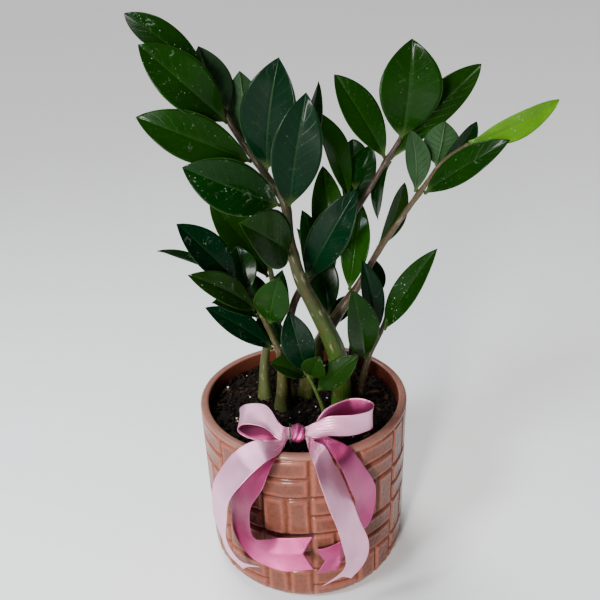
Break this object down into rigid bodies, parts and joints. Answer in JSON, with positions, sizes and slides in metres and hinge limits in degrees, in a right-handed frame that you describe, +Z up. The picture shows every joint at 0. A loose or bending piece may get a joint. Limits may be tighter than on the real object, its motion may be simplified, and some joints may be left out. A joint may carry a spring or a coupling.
{
  "type": "potted zz plant",
  "caption": "Leafy zz plant with arching stems of glossy pointed leaflets, in a round glazed pot of soil with a two-colour ribbon bow at the rim.",
  "frame": {"origin": "middle of the pot's flat foot, which rests on the ground", "axes": "+Z up; -Y is the front, where the bow sits on the rim; +X is to the right of a viewer facing the front"},
  "size_m": [0.2512, 0.1775, 0.3806],
  "materials": {
    "glazed_ceramic": "gloss",
    "potting_soil": "matte",
    "petiole": "satin",
    "leaf": "gloss",
    "satin_pale_pink": "satin",
    "satin_rose": "satin",
    "florist_wire": "satin"
  },
  "bodies": {
    "root": {"pot": "glazed_ceramic", "soil": "potting_soil", "stem_back": "petiole", "stem_back_left": "petiole", "stem_far_right": "petiole", "stem_left": "petiole", "stem_low_front": "petiole", "stem_low_right": "petiole", "stem_right": "petiole", "stem_tall": "petiole", "stem_young": "petiole", "leaf_back_front": "leaf", "leaf_back_left_1": "leaf", "leaf_back_left_2": "leaf", "leaf_back_low": "leaf", "leaf_back_tip": "leaf", "leaf_far_inner_1": "leaf", "leaf_far_inner_2": "leaf", "leaf_far_inner_3": "leaf", "leaf_far_low": "leaf", "leaf_far_outer_1": "leaf", "leaf_far_outer_2": "leaf", "leaf_far_root": "leaf", "leaf_far_tip": "leaf", "leaf_left_1": "leaf", "leaf_left_2": "leaf", "leaf_left_3": "leaf", "leaf_left_4": "leaf", "leaf_left_5": "leaf", "leaf_left_6": "leaf", "leaf_left_7": "leaf", "leaf_low_front_tip": "leaf", "leaf_low_right_1": "leaf", "leaf_low_right_2": "leaf", "leaf_low_right_3": "leaf", "leaf_right_hanging": "leaf", "leaf_right_left": "leaf", "leaf_right_low": "leaf", "leaf_right_side": "leaf", "leaf_right_tip": "leaf", "leaf_tall_back_1": "leaf", "leaf_tall_back_2": "leaf", "leaf_tall_back_3": "leaf", "leaf_tall_left_1": "leaf", "leaf_tall_left_2": "leaf", "leaf_tall_left_3": "leaf", "leaf_tall_left_4": "leaf", "leaf_tall_right_1": "leaf", "leaf_tall_right_2": "leaf", "leaf_tall_tip": "leaf", "leaf_young_1": "leaf", "leaf_young_2": "leaf", "leaf_young_3": "leaf", "leaf_young_tip": "leaf", "ribbon_pale_loops": "satin_pale_pink", "ribbon_pale_tails": "satin_pale_pink", "ribbon_rose_loops": "satin_rose", "ribbon_rose_tails": "satin_rose", "bow_knot": "satin_rose", "bow_wire": "florist_wire"}
  },
  "joints": []
}
